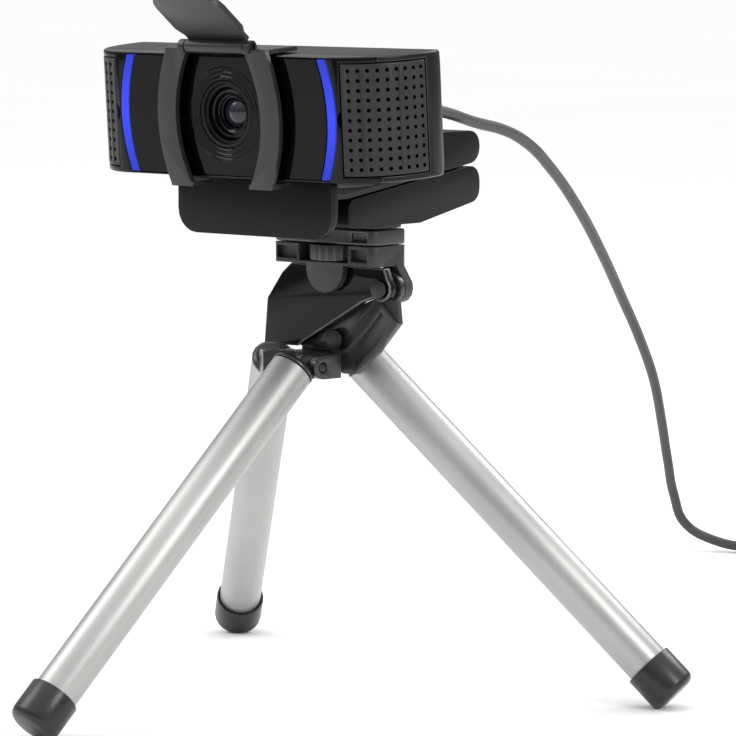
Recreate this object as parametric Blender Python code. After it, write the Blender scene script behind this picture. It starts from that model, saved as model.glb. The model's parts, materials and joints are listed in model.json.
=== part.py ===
"""A small desk webcam with a flip-up privacy shutter, clipped and screwed to a folding mini tripod.

Sizes are in millimetres until the helpers turn them into Blender's metres. The stand's own frame has
+Z up and the webcam looking along -Y; the empty "stand" puts the middle of the footprint at the origin.
"""

import math

import bmesh
import bpy
from mathutils import Matrix, Vector

MM = 0.001
GAP = 0.3

# The footprint's middle, measured from the point where the three legs' planes turn about
STAND_X = -4.541
STAND_Y = 17.932

# Legs
LEG_HEADINGS = (-99.0, 20.5, 138.5)
LEG_NAMES = ("front", "right", "rear")
LEG_OFFSET = 7.6
LEG_SPREAD = 45.5
TUBE_RADIUS = 5.5
TUBE_WALL = 1.0
TUBE_TOP_REACH = 12.4
TUBE_TOP_HEIGHT = 82.3
PLUG_CAP = 1.8
PLUG_SPIGOT = 9.0
KNUCKLE_RADIUS = 2.9
KNUCKLE_THICK = 3.4
KNUCKLE_TO_CAP = 3.2
KNUCKLE_SET_IN = 4.2
LEG_PIN_RADIUS = 1.1
FOOT_RADIUS = 6.3
FOOT_ROUND = 2.0
FOOT_FLAT = 0.4
FOOT_LENGTH = 10.0
FOOT_SOLE = 2.0

# Hub
CHEEK_THICK = 2.2
CLEVIS_BACK = 2.7
HUB_CORE_RADIUS = 4.8
BLOCK_X = (-6.0, 4.6)
BLOCK_Y = (3.8, 9.0)
ARM_Y = (1.2, 3.5)
ARM_RIB = 0.8

# Tilting head
HEAD_X = 8.0
HEAD_Y = 2.0
HEAD_WIDTH = 33.0
HEAD_DEPTH = 12.5
HEAD_BOTTOM = 108.0
BLOCK_HEIGHT = 5.0
TOP_PLATE = 3.7
PAD_THICK = 0.9
HINGE_X = 24.0
HINGE_Z = 102.6
HINGE_RADIUS = 3.8
HINGE_PIN_RADIUS = 1.3
SHIELD_Y = (-1.6, 0.9)
TAB_WIDTH = 11.8
TAB_BOTTOM = 101.0
WHEEL_RADIUS = 7.6
WHEEL_HEIGHT = 4.0
SCREW_RADIUS = 3.0
SCREW_REACH = 5.5

# Clip
CLIP_HALF_WIDTH = 20.0
CLIP_HEIGHT = 6.7
CLIP_FRONT = -18.2
CLIP_REAR = 32.4
SEAM_SLOPE = 0.137
SEAM_GAP = 0.6
ARM_PLATE = 2.8
ARM_TOP = 140.4
LIP_HALF_WIDTH = 24.8
LIP_Y = (-30.0, -27.8)
LIP_Z = (116.5, 130.2)
LIP_CORNER = 6.0
FOLD_Y = 30.4
FOLD_Z = 132.1
FOLD_RADIUS = 2.2
FOLD_PIN_RADIUS = 1.0
FOLD_KNUCKLE = 9.0
FOLD_END = 14.0
TILT_Y = -12.6
TILT_Z = 131.6
TILT_RADIUS = 2.7
TILT_PIN_RADIUS = 1.1
NECK_HALF_WIDTH = 5.0
TILT_EAR = 3.0

# Webcam, in its own frame: the tilt pin is at its origin
PITCH = 3.85
CAM_FRONT = -26.4
CAM_DEPTH = 26.5
CAM_HALF_WIDTH = 48.3
CAM_FLAT_HALF = 32.0
CAM_BOTTOM = 1.1
CAM_HEIGHT = 29.8
END_SWEEP = 20.0
END_POWER = 2 / 2.35
REAR_CORNER = 5.5
REAR_BULGE = 2.9
SHELL_WALL = 1.6
CASE_ROUND = 1.2
FRAME_DEPTH = 4.6
GLASS_RIM = 0.7
GLASS_THICK = 1.3
GLASS_HALF = 28.7
STRIP_WIDTH = 2.4
STRIP_BULGE = 2.9
GRILLE_THICK = 1.2
GRILLE_RIM = 1.7
GRILLE_END = 84.0
LENS_Z = 16.5
GLAND_X = 18.5
GLAND_Z = 15.5
LENS_RADIUS = 6.2
BARREL_RADIUS = 8.0

# Privacy shutter
ARM_MID = 16.5
ARM_END = 12.4
ARM_WIDTH_MID = 5.8
ARM_WIDTH_END = 6.8
SHUTTER_STANDOFF = 1.6
SHUTTER_THICK = 1.4
SHUTTER_PIN_Y = -28.4
SHUTTER_PIN_RISE = 2.0
SHUTTER_PIN_RADIUS = 0.8
SHUTTER_KNUCKLE = 1.7
FLAP_LENGTH = 18.3
FLAP_HALF = 10.5
FLAP_OPEN = 41.0
FLAP_LIP = 2.2

# Cord
CORD_RADIUS = 1.45
COIL_CENTRE = (-14.0, 267.0)
COIL_MID_RADIUS = 16.0
COIL_HALF_WIDTH = 5.8
COIL_HEIGHT = 8.8
TIE_THICK = 0.6
TIE_LENGTH = 5.0
GLAND_LENGTH = 11.4

FINISHES = {
    "satin_aluminium": ((0.72, 0.72, 0.73), 0.28, 1.0),
    "steel": ((0.6, 0.6, 0.62), 0.3, 1.0),
    "brass": ((0.72, 0.53, 0.25), 0.3, 1.0),
    "black_gloss": ((0.012, 0.012, 0.014), 0.12, 0.0),
    "black_satin": ((0.025, 0.025, 0.027), 0.42, 0.0),
    "grey_satin": ((0.16, 0.16, 0.165), 0.45, 0.0),
    "grille_grey": ((0.08, 0.08, 0.08), 0.5, 0.0),
    "glass": ((0.02, 0.02, 0.03), 0.05, 0.0),
    "light_guide": ((0.15, 0.25, 0.9), 0.3, 0.0),
    "rubber": ((0.02, 0.02, 0.02), 0.7, 0.0),
    "board_green": ((0.02, 0.16, 0.07), 0.4, 0.0),
}


def clear_scene():
    for thing in list(bpy.data.objects):
        bpy.data.objects.remove(thing, do_unlink=True)


def finish(name):
    """The material of one named finish."""
    found = bpy.data.materials.get(name)
    if found:
        return found
    colour, roughness, metallic = FINISHES[name]
    made = bpy.data.materials.new(name)
    made.use_nodes = True
    shader = made.node_tree.nodes["Principled BSDF"]
    shader.inputs["Base Color"].default_value = (*colour, 1.0)
    shader.inputs["Roughness"].default_value = roughness
    shader.inputs["Metallic"].default_value = metallic
    return made


def empty(name, at, parent=None, turn=None):
    """An empty on a joint's axis; pieces that move about it hang from it."""
    made = bpy.data.objects.new(name, None)
    made.location = Vector(at) * MM
    if turn:
        made.rotation_euler = turn
    made.parent = parent
    bpy.context.collection.objects.link(made)
    return made


def piece(name, shape, look, parent, shift=(0, 0, 0)):
    """Turns a bmesh in millimetres into a named object under its parent."""
    bmesh.ops.remove_doubles(shape, verts=shape.verts, dist=1e-4)
    bmesh.ops.recalc_face_normals(shape, faces=shape.faces)
    bmesh.ops.scale(shape, vec=(MM, MM, MM), verts=shape.verts)
    mesh = bpy.data.meshes.new(name)
    shape.to_mesh(mesh)
    shape.free()
    mesh.materials.append(finish(look))
    mesh.shade_smooth()
    mesh.set_sharp_from_angle(angle=math.radians(35))
    made = bpy.data.objects.new(name, mesh)
    made.parent = parent
    made.location = Vector(shift) * MM
    bpy.context.collection.objects.link(made)
    return made


def guide(made):
    made.hide_render = True
    made.display_type = "WIRE"
    return made


def combine(made, others, operation):
    """Adds Boolean modifiers that cut the others from a piece, or join them to it."""
    for other in others:
        guide(other)
        step = made.modifiers.new(other.name, "BOOLEAN")
        step.operation = operation
        step.object = other
    return made


def lift(point, axis, depth):
    """A 2D outline point as 3D, with depth along the axis: X takes (y, z), Y (x, z) and Z (x, y)."""
    a, b = point
    return {"X": (depth, a, b), "Y": (a, depth, b), "Z": (a, b, depth)}[axis]


def prism(outline, axis, start, end):
    """An outline pushed along an axis, as a closed solid."""
    shape = bmesh.new()
    corners = [shape.verts.new(lift(p, axis, start)) for p in outline]
    cap = shape.faces.new(corners)
    grown = bmesh.ops.extrude_face_region(shape, geom=[cap])
    moved = [v for v in grown["geom"] if isinstance(v, bmesh.types.BMVert)]
    bmesh.ops.translate(shape, verts=moved, vec=Vector(lift((0, 0), axis, end - start)))
    return shape


def box(low, high):
    outline = [(low[0], low[1]), (high[0], low[1]), (high[0], high[1]), (low[0], high[1])]
    return prism(outline, "Z", low[2], high[2])


def fillet(points, radius, steps=4):
    """Rounds an outline's corners. A point's own third value replaces the radius."""
    rounded = []
    for i, corner in enumerate(points):
        here = Vector(corner[:2])
        size = corner[2] if len(corner) > 2 else radius
        back = Vector(points[i - 1][:2]) - here
        ahead = Vector(points[(i + 1) % len(points)][:2]) - here
        half = back.angle(ahead) / 2
        reach = min(size / math.tan(half), 0.49 * back.length, 0.49 * ahead.length) if size else 0
        if reach < 1e-3 or half > math.pi / 2 - 0.02:
            rounded.append(tuple(here))
            continue
        start = here + back.normalized() * reach
        middle = (back.normalized() + ahead.normalized()).normalized()
        centre = here + middle * (reach / math.cos(half))
        spoke = start - centre
        side = 1 if back.x * ahead.y - back.y * ahead.x < 0 else -1
        sweep = (math.pi - 2 * half) * side
        for k in range(steps + 1):
            rounded.append(tuple(centre + Matrix.Rotation(sweep * k / steps, 2) @ spoke))
    return rounded


def arc(centre, radius, start, end, steps):
    """Points on a circle from one angle to another, in degrees."""
    turns = [math.radians(start + (end - start) * k / steps) for k in range(steps + 1)]
    return [(centre[0] + radius * math.cos(t), centre[1] + radius * math.sin(t)) for t in turns]


def disc(centre, radius, steps):
    return arc(centre, radius, 0, 360 - 360 / steps, steps - 1)


def turned(profile, steps=20, closed=False):
    """A profile of (radius, height) points turned about Z. A closed profile makes a ring or a tube."""
    shape = bmesh.new()
    row = [shape.verts.new((r, 0, z)) for r, z in profile]
    pairs = list(zip(row, row[1:] + ([row[0]] if closed else [])))
    edges = [shape.edges.new(pair) for pair in pairs]
    bmesh.ops.spin(
        shape, geom=row + edges, cent=(0, 0, 0), axis=(0, 0,
            1), angle=2 * math.pi, steps=steps, use_merge=True
    )
    bmesh.ops.remove_doubles(shape, verts=shape.verts, dist=1e-4)
    return shape


def aim(shape, axis, at=(0, 0, 0)):
    """Turns a shape made about Z so that it lies along an axis, then moves it."""
    turns = {
        "X": Matrix.Rotation(math.pi / 2, 4, "Y"),
        "Y": Matrix.Rotation(-math.pi / 2, 4, "X"),
        "Z": Matrix.Identity(4),
    }
    bmesh.ops.transform(shape, matrix=Matrix.Translation(Vector(at)) @ turns[axis], verts=shape.verts)
    return shape


def rod(axis, at, radius, start, end, steps=16):
    """A round bar along an axis, from start to end along it."""
    return aim(turned([(0, start), (radius, start), (radius, end), (0, end)], steps), axis, at)


def headed_pin(axis, at, radius, start, end, head_radius, head):
    profile = [(0, start), (head_radius, start), (head_radius, start + head), (radius, start + head)]
    return aim(turned(profile + [(radius, end), (0, end)], 16), axis, at)


# ---------------------------------------------------------------- legs
SPREAD = math.radians(LEG_SPREAD)
CAP_START = -KNUCKLE_TO_CAP
TUBE_START = CAP_START - PLUG_CAP
HINGE_REACH = TUBE_TOP_REACH + TUBE_START * math.sin(SPREAD) - KNUCKLE_SET_IN * math.cos(SPREAD)
HINGE_HEIGHT = TUBE_TOP_HEIGHT - TUBE_START * math.cos(SPREAD) - KNUCKLE_SET_IN * math.sin(SPREAD)
FOOT_DROP = (FOOT_RADIUS - FOOT_ROUND) * math.sin(SPREAD) + FOOT_ROUND * (1 - math.cos(SPREAD)) - FOOT_FLAT
FOOT_END = TUBE_START - (TUBE_TOP_HEIGHT - FOOT_DROP) / math.cos(SPREAD)
TUBE_END = FOOT_END + FOOT_SOLE + GAP
CLEVIS_HALF = KNUCKLE_THICK / 2 + GAP + CHEEK_THICK


def make_leg(name, heading, stand):
    """One leg, made hanging straight down from its hinge and turned out to its spread."""
    turn = math.radians(heading)
    side = Vector((-math.sin(turn), math.cos(turn), 0)) * LEG_OFFSET
    out = Vector((math.cos(turn), math.sin(turn), 0)) * HINGE_REACH
    at = side + out + Vector((0, 0, HINGE_HEIGHT))
    hinge = empty(f"{name}_leg_hinge", at, stand, (0, -SPREAD, turn))

    set_in = KNUCKLE_SET_IN
    cap_radius = TUBE_RADIUS + 0.1
    inside = TUBE_RADIUS - TUBE_WALL - GAP
    cap = [(0, CAP_START), (cap_radius - 0.9, CAP_START), (cap_radius, CAP_START - 0.9),
        (cap_radius, TUBE_START + GAP)]
    spigot = [(inside, TUBE_START + GAP), (inside, TUBE_START - PLUG_SPIGOT), (0, TUBE_START - PLUG_SPIGOT)]
    plug = piece(f"{name}_leg_plug", aim(turned(cap + spigot, 20), "Z", (set_in, 0, 0)), "black_satin",
        hinge)
    outline = arc((0, 0), KNUCKLE_RADIUS, 0, 180, 8)
    outline += [(-0.9, CAP_START - 0.4), (5.0, CAP_START - 0.4), (4.2, CAP_START + 1.0)]
    tongue = prism(outline, "Y", -KNUCKLE_THICK / 2, KNUCKLE_THICK / 2)
    combine(plug, [piece(f"join_{name}_tongue", tongue, "black_satin", hinge)], "UNION")
    hole = rod("Y", (0, 0, 0), LEG_PIN_RADIUS + GAP, -CLEVIS_HALF, CLEVIS_HALF, 12)
    combine(plug, [piece(f"cut_{name}_tongue", hole, "steel", hinge)], "DIFFERENCE")

    inner = TUBE_RADIUS - TUBE_WALL
    walls = [(TUBE_RADIUS, TUBE_START), (TUBE_RADIUS, TUBE_END), (inner, TUBE_END), (inner, TUBE_START)]
    tube = aim(turned(walls, 24, closed=True), "Z", (set_in, 0, 0))
    piece(f"{name}_leg_tube", tube, "satin_aluminium", hinge)

    core = FOOT_RADIUS - FOOT_ROUND
    rounded = [(FOOT_ROUND * math.sin(t), FOOT_ROUND * (1 - math.cos(t))) for t in quarter_steps(4)]
    sole = [(0, FOOT_END)] + [(core + r, FOOT_END + z) for r, z in rounded]
    mouth = FOOT_END + FOOT_LENGTH
    bore = TUBE_RADIUS + GAP
    foot = sole + [(FOOT_RADIUS, mouth), (bore, mouth), (bore, FOOT_END + FOOT_SOLE),
        (0, FOOT_END + FOOT_SOLE)]
    rubber = piece(f"{name}_foot", aim(turned(foot, 24), "Z", (set_in, 0, 0)), "rubber", hinge)
    below = piece(f"cut_{name}_foot", box((60, -30, -20), (130, 30, 0)), "rubber", stand)
    below.rotation_euler = (0, 0, turn)
    combine(rubber, [below], "DIFFERENCE")

    pin = rod("Y", (0, 0, 0), LEG_PIN_RADIUS, -CLEVIS_HALF, CLEVIS_HALF, 12)
    fixed = empty(f"{name}_pin_place", at, stand, (0, 0, turn))
    piece(f"{name}_leg_pin", pin, "steel", fixed)
    return fixed


def quarter_steps(count):
    """Angles of a quarter turn in equal steps."""
    return [math.pi / 2 * k / count for k in range(count + 1)]


# ---------------------------------------------------------------- hub
HUB_LOW = HINGE_HEIGHT - KNUCKLE_RADIUS
HUB_TOP = HINGE_HEIGHT + KNUCKLE_RADIUS + 0.1


def make_hub(stand, leg_frames):
    """The fixed middle: three forks for the legs, a post that the head rests on, and its hinge arm."""
    hub = piece("hub_body", prism(disc((0, 0), HUB_CORE_RADIUS, 12), "Z", HUB_LOW, HUB_TOP), "grey_satin",
        stand)
    parts = []
    cuts = []
    for name, frame in zip(LEG_NAMES, leg_frames):
        low = HUB_LOW - HINGE_HEIGHT
        high = HUB_TOP - HINGE_HEIGHT
        back = -KNUCKLE_RADIUS - GAP - CLEVIS_BACK
        outline = [(back, low), (0, low)] + arc((0, 0), KNUCKLE_RADIUS, -60, 60, 4) + [(0, high),
            (back, high)]
        fork = prism(outline, "Y", -CLEVIS_HALF, CLEVIS_HALF)
        parts.append(piece(f"join_{name}_fork", fork, "grey_satin", frame))
        half = KNUCKLE_THICK / 2 + GAP
        slot = box((-KNUCKLE_RADIUS - GAP, -half, low - 1), (12, half, high + 1))
        cuts.append(piece(f"cut_{name}_slot", slot, "grey_satin", frame))
        bore = rod("Y", (0, 0, 0), LEG_PIN_RADIUS + GAP, -CLEVIS_HALF - 1, CLEVIS_HALF + 1, 12)
        cuts.append(piece(f"cut_{name}_pin", bore, "grey_satin", frame))
    post = box((BLOCK_X[0], BLOCK_Y[0], HUB_TOP - 2), (BLOCK_X[1], BLOCK_Y[1], HEAD_BOTTOM - GAP))
    parts.append(piece("join_post", post, "grey_satin", stand))
    combine(hub, parts, "UNION")
    combine(hub, cuts, "DIFFERENCE")

    knuckle = arc((HINGE_X, HINGE_Z), HINGE_RADIUS, -50, 160, 8)
    rib = [(20.2, 86.3), (27.1, 93.9)] + knuckle + [(19.0, 99.6), (7.6, 95.0), (-5.0, 95.0), (-5.0, 87.0),
        (5.2, 86.6)]
    web = [(5.2, 84.4), (8.6, 80.6), (13.4, 80.6)] + rib
    arm = piece("hinge_arm", prism(web, "Y", ARM_Y[0] + ARM_RIB, ARM_Y[1]), "grey_satin", stand)
    raised = [(9.6, 80.6), (13.4, 80.6), (20.2, 86.3), (27.1, 93.9), (22.1, 98.9), (10.9, 86.8),
        (5.2, 84.4), (6.4, 83.0)]
    block = prism(raised, "Y", ARM_Y[0], ARM_Y[0] + ARM_RIB + 0.4)
    combine(arm, [piece("join_arm_rib", block, "grey_satin", stand)], "UNION")
    pocket = prism([(12.0, 85.6), (14.0, 82.8), (24.4, 94.0), (22.0, 96.6)], "Y", ARM_Y[0] - 1,
        ARM_Y[0] + 0.9)
    bore = rod("Y", (HINGE_X, 0, HINGE_Z), HINGE_PIN_RADIUS + GAP, -5, 12, 14)
    screw_bore = rod("Y", (7.2, 0, 89.0), 1.5, -2, 8, 12)
    cuts = [
        piece("cut_arm_pocket", pocket, "grey_satin", stand),
        piece("cut_arm_pin", bore, "grey_satin", stand),
        piece("cut_arm_screw", screw_bore, "grey_satin", stand),
    ]
    combine(arm, cuts, "DIFFERENCE")
    screw = headed_pin("Y", (7.2, 0, 89.0), 1.2, ARM_Y[0] - 0.9, ARM_Y[1] - 0.4, 2.6, 1.2)
    piece("arm_screw", screw, "steel", stand)


# ---------------------------------------------------------------- tilting head
HEAD_LEFT = HEAD_X - HEAD_WIDTH / 2
HEAD_RIGHT = HEAD_X + HEAD_WIDTH / 2
HEAD_FRONT = HEAD_Y - HEAD_DEPTH / 2
HEAD_BACK = HEAD_Y + HEAD_DEPTH / 2
BLOCK_TOP = HEAD_BOTTOM + BLOCK_HEIGHT
PLATE_LOW = BLOCK_TOP + GAP
PLATE_TOP = PLATE_LOW + TOP_PLATE
PAD_TOP = PLATE_TOP + GAP + PAD_THICK
CLIP_BASE = PAD_TOP + GAP


def head_outline(inset):
    low = (HEAD_LEFT + inset, HEAD_FRONT + inset)
    high = (HEAD_RIGHT - inset, HEAD_BACK - inset)
    return fillet([low, (high[0], low[1]), high, (low[0], high[1])], 1.6, 3)


def make_head(head, shift):
    """Platform that swings up about the hinge at its right end, with its wheel, screw and front shield."""
    block = piece("tilt_block", prism(head_outline(0), "Z", HEAD_BOTTOM, BLOCK_TOP), "grey_satin", head,
        shift)
    half_tab = TAB_WIDTH / 2
    tab_centre = TAB_BOTTOM + half_tab
    tab = arc((HEAD_X, tab_centre), half_tab, 180, 360, 8) + [(HEAD_X + half_tab, HEAD_BOTTOM + 0.6)]
    tab = tab + [(HEAD_X - half_tab, HEAD_BOTTOM + 0.6)]
    tab_shape = prism(tab, "Y", HEAD_FRONT + 0.25, SHIELD_Y[0] - GAP)
    lug_y = (ARM_Y[1] + GAP, ARM_Y[1] + GAP + 2.8)
    lug = arc((HINGE_X, HINGE_Z), HINGE_RADIUS, -200, 20, 9) + [(HEAD_RIGHT, HEAD_BOTTOM + 0.6),
        (20.4, HEAD_BOTTOM + 0.6)]
    joined = [
        piece("join_tab", tab_shape, "grey_satin", head, shift),
        piece("join_lug", prism(lug, "Y", *lug_y), "grey_satin", head, shift),
    ]
    combine(block, joined, "UNION")
    half_slot = WHEEL_RADIUS + GAP
    floor = BLOCK_TOP - WHEEL_HEIGHT - GAP
    slot = box((HEAD_X - half_slot, HEAD_FRONT - 9, floor),
        (HEAD_X + half_slot, HEAD_BACK + 9, BLOCK_TOP + 1))
    pockets = []
    for low, high in ((HEAD_LEFT + 1.3, HEAD_X - half_slot - 0.8),
        (HEAD_X + half_slot + 0.8, HEAD_RIGHT - 2.6)):
        pockets.append(box((low, HEAD_FRONT - 1, HEAD_BOTTOM + 1.1),
            (high, HEAD_FRONT + 1.8, BLOCK_TOP - 0.8)))
    pin_bore = rod("Y", (HINGE_X, 0, HINGE_Z), HINGE_PIN_RADIUS + GAP, -6, 12, 14)
    shapes = [slot, *pockets, pin_bore]
    cuts = [piece(f"cut_block_{i}", s, "grey_satin", head, shift) for i, s in enumerate(shapes)]
    combine(block, cuts, "DIFFERENCE")

    plate = piece("top_plate", prism(head_outline(0), "Z", PLATE_LOW, PLATE_TOP), "grey_satin", head, shift)
    hole = rod("Z", (HEAD_X, HEAD_Y, 0), SCREW_RADIUS + GAP, PLATE_LOW - 1, PLATE_TOP + 1, 16)
    recess = box((HEAD_X + 9, HEAD_FRONT - 1, PLATE_LOW + 0.8),
        (HEAD_RIGHT - 2.6, HEAD_FRONT + 1.2, PLATE_TOP - 0.8))
    cuts = [
        piece("cut_plate_hole", hole, "grey_satin", head, shift),
        piece("cut_plate_recess", recess, "grey_satin", head, shift),
    ]
    combine(plate, cuts, "DIFFERENCE")
    pad = piece("top_pad", prism(head_outline(0.6), "Z", PLATE_TOP + GAP, PAD_TOP), "rubber", head, shift)
    hole = rod("Z", (HEAD_X, HEAD_Y, 0), SCREW_RADIUS + GAP, PLATE_TOP, PAD_TOP + 1, 16)
    combine(pad, [piece("cut_pad_hole", hole, "rubber", head, shift)], "DIFFERENCE")

    outline = [(-14.0, 86.9), (-12.9, 98.4), (-7.9, 105.2), (-4.9, HEAD_BOTTOM - GAP)]
    outline += [(HEAD_RIGHT + 0.6, HEAD_BOTTOM - GAP)]
    outline += arc((HINGE_X, HINGE_Z), HINGE_RADIUS - 0.6, 45, -135, 6)
    outline += [(18.0, 99.0), (-3.1, 86.9)]
    shield = piece("front_shield", prism(outline, "Y", *SHIELD_Y), "black_gloss", head, shift)
    hole = rod("Y", (HINGE_X, 0, HINGE_Z), HINGE_PIN_RADIUS + GAP, -6, 12, 14)
    combine(shield, [piece("cut_shield_pin", hole, "black_gloss", head, shift)], "DIFFERENCE")
    pin = headed_pin("Y", (HINGE_X, 0, HINGE_Z), HINGE_PIN_RADIUS, SHIELD_Y[0] - GAP - 0.8,
        lug_y[1] + 0.4, 2.3, 0.8)
    piece("head_hinge_pin", pin, "steel", head, shift)

    low = BLOCK_TOP - WHEEL_HEIGHT
    rim = [(WHEEL_RADIUS - 0.35 * (k % 2), 0) for k in range(48)]
    teeth = [(HEAD_X + r * math.cos(math.tau * k / 48), HEAD_Y + r * math.sin(math.tau * k / 48)) for k,
        (r, _) in enumerate(rim)]
    piece("thumbwheel", prism(teeth, "Z", low, BLOCK_TOP - 0.1), "black_satin", head, shift)
    screw = rod("Z", (HEAD_X, HEAD_Y, 0), SCREW_RADIUS, BLOCK_TOP + GAP - 0.1, CLIP_BASE + SCREW_REACH, 16)
    piece("tripod_screw", screw, "steel", head, shift)


# ---------------------------------------------------------------- clip
def seam(y):
    """Height of the foot's sloping top, where the arm lies on it."""
    return CLIP_BASE + CLIP_HEIGHT + SEAM_SLOPE * (y - CLIP_FRONT)


def make_clip(head, head_shift, fold, fold_shift):
    """The clip: its foot is screwed to the platform, and its arm with the lip folds up from the foot."""
    side = (HEAD_X - CLIP_HALF_WIDTH, HEAD_X + CLIP_HALF_WIDTH)
    low = [(CLIP_FRONT, CLIP_BASE, 1.2), (9.0, CLIP_BASE, 0), (CLIP_REAR, CLIP_BASE + 4.6, 3.5)]
    high = [(CLIP_REAR, seam(CLIP_REAR), 3.6), (CLIP_FRONT, seam(CLIP_FRONT), 2.4)]
    foot = piece("clip_foot", prism(fillet(low + high, 1.0, 4), "X", *side), "grey_satin", head, head_shift)
    place = (HEAD_X, FOLD_Y, FOLD_Z)
    room = rod("X", place, FOLD_RADIUS + GAP, -FOLD_KNUCKLE - 2 * GAP, FOLD_KNUCKLE + 2 * GAP, 14)
    combine(foot, [piece("cut_foot_room", room, "grey_satin", head, head_shift)], "DIFFERENCE")
    knuckles = []
    for sign in (-1, 1):
        ends = sorted((sign * (FOLD_KNUCKLE + GAP), sign * FOLD_END))
        knuckles.append(rod("X", place, FOLD_RADIUS, *ends, 14))
    combine(foot,
        [piece(f"join_foot_{i}", s, "grey_satin", head, head_shift) for i,
            s in enumerate(knuckles)], "UNION")
    bush_hole = rod("Z", (HEAD_X, HEAD_Y, 0), SCREW_RADIUS + 1.9, CLIP_BASE - 1,
        CLIP_BASE + SCREW_REACH + 0.8, 16)
    reach = FOLD_END - 0.4
    bore = rod("X", (HEAD_X, FOLD_Y, FOLD_Z), FOLD_PIN_RADIUS + GAP, -reach - GAP, reach + GAP, 12)
    cuts = [piece(f"cut_foot_{i}", s, "grey_satin", head, head_shift) for i,
        s in enumerate((bush_hole, bore))]
    combine(foot, cuts, "DIFFERENCE")
    bush_walls = [
        (SCREW_RADIUS + 1.6, CLIP_BASE + 0.2),
        (SCREW_RADIUS + 1.6, CLIP_BASE + SCREW_REACH + 0.4),
        (SCREW_RADIUS + GAP, CLIP_BASE + SCREW_REACH + 0.4),
        (SCREW_RADIUS + GAP, CLIP_BASE + 0.2),
    ]
    bush = aim(turned(bush_walls, 16, closed=True), "Z", (HEAD_X, HEAD_Y, 0))
    piece("tripod_bush", bush, "brass", head, head_shift)
    pin = rod("X", (HEAD_X, FOLD_Y, FOLD_Z), FOLD_PIN_RADIUS, -reach, reach, 12)
    piece("clip_fold_pin", pin, "steel", head, head_shift)

    start = LIP_Y[1] - 1.0
    under = seam(CLIP_FRONT) + SEAM_GAP
    outline = [(start, under, 0), (CLIP_FRONT, under), (CLIP_REAR, seam(CLIP_REAR) + SEAM_GAP, 4.0)]
    outline += [(CLIP_REAR, ARM_TOP, 5.0), (9.0, ARM_TOP, 6.0), (-5.0, 133.0, 4.0)]
    outline += [(-8.6, under + ARM_PLATE, 1.0), (start, under + ARM_PLATE, 0)]
    arm = piece("clip_arm", prism(fillet(outline, 1.0, 4), "X", *side), "grey_satin", fold, fold_shift)
    corners = [(-LIP_HALF_WIDTH, LIP_Z[0], LIP_CORNER), (LIP_HALF_WIDTH, LIP_Z[0], LIP_CORNER)]
    corners += [(LIP_HALF_WIDTH, LIP_Z[1], 1.0), (-LIP_HALF_WIDTH, LIP_Z[1], 1.0)]
    lip = prism([(x + HEAD_X, z) for x, z in fillet(corners, 1.0, 5)], "Y", *LIP_Y)
    rooms = []
    for sign in (-1, 1):
        ends = sorted((sign * (FOLD_KNUCKLE - GAP), sign * (FOLD_END + GAP)))
        rooms.append(rod("X", place, FOLD_RADIUS + GAP, *ends, 14))
    cuts = [piece(f"cut_arm_room_{i}", s, "grey_satin", fold, fold_shift) for i, s in enumerate(rooms)]
    combine(arm, cuts, "DIFFERENCE")
    shapes = [lip, rod("X", place, FOLD_RADIUS, -FOLD_KNUCKLE, FOLD_KNUCKLE, 14)]
    for sign in (-1, 1):
        near = HEAD_X + sign * (NECK_HALF_WIDTH + GAP)
        far = near + sign * TILT_EAR
        outline = arc((TILT_Y, TILT_Z), TILT_RADIUS, 0, 180, 8)
        outline += [(TILT_Y - TILT_RADIUS, under + 1.0), (TILT_Y + 5.5, under + 1.0)]
        shapes.append(prism(outline, "X", min(near, far), max(near, far)))
    combine(arm,
        [piece(f"join_arm_{i}", s, "grey_satin", fold, fold_shift) for i, s in enumerate(shapes)], "UNION")
    bores = [rod("X", (HEAD_X, FOLD_Y, FOLD_Z), FOLD_PIN_RADIUS + GAP, -reach - GAP, reach + GAP, 12)]
    wide = NECK_HALF_WIDTH + GAP
    bores.append(rod("X", (HEAD_X, TILT_Y, TILT_Z), TILT_RADIUS + 2 * GAP, -wide, wide, 16))
    reach = wide + TILT_EAR
    bores.append(rod("X", (HEAD_X, TILT_Y, TILT_Z), TILT_PIN_RADIUS + GAP, -reach - 1, reach + 1, 12))
    combine(arm, [piece(f"cut_arm_{i}", s, "grey_satin", fold, fold_shift) for i, s in enumerate(bores)],
        "DIFFERENCE")
    pin = rod("X", (HEAD_X, TILT_Y, TILT_Z), TILT_PIN_RADIUS, -reach, reach, 12)
    piece("clip_tilt_pin", pin, "steel", fold, fold_shift)
    pad_z = (LIP_Z[0] + 2.4, under - GAP)
    lip_pad = box((HEAD_X - 14, LIP_Y[1] + GAP, pad_z[0]), (HEAD_X + 14, LIP_Y[1] + GAP + 0.9, pad_z[1]))
    piece("lip_pad", lip_pad, "rubber", fold, fold_shift)


# ---------------------------------------------------------------- webcam
CAM_BACK = CAM_FRONT + CAM_DEPTH
CAM_TOP = CAM_BOTTOM + CAM_HEIGHT
SHUTTER_PIN_Z = CAM_TOP + SHUTTER_PIN_RISE
CAM_MID = CAM_BOTTOM + CAM_HEIGHT / 2
FRAME_BACK = CAM_FRONT + FRAME_DEPTH


def end_curve(inset, steps):
    """The right-hand end of the front seen from above: a quarter curve from the front to the side."""
    return end_stretch(0, 90, inset, steps)


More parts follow.
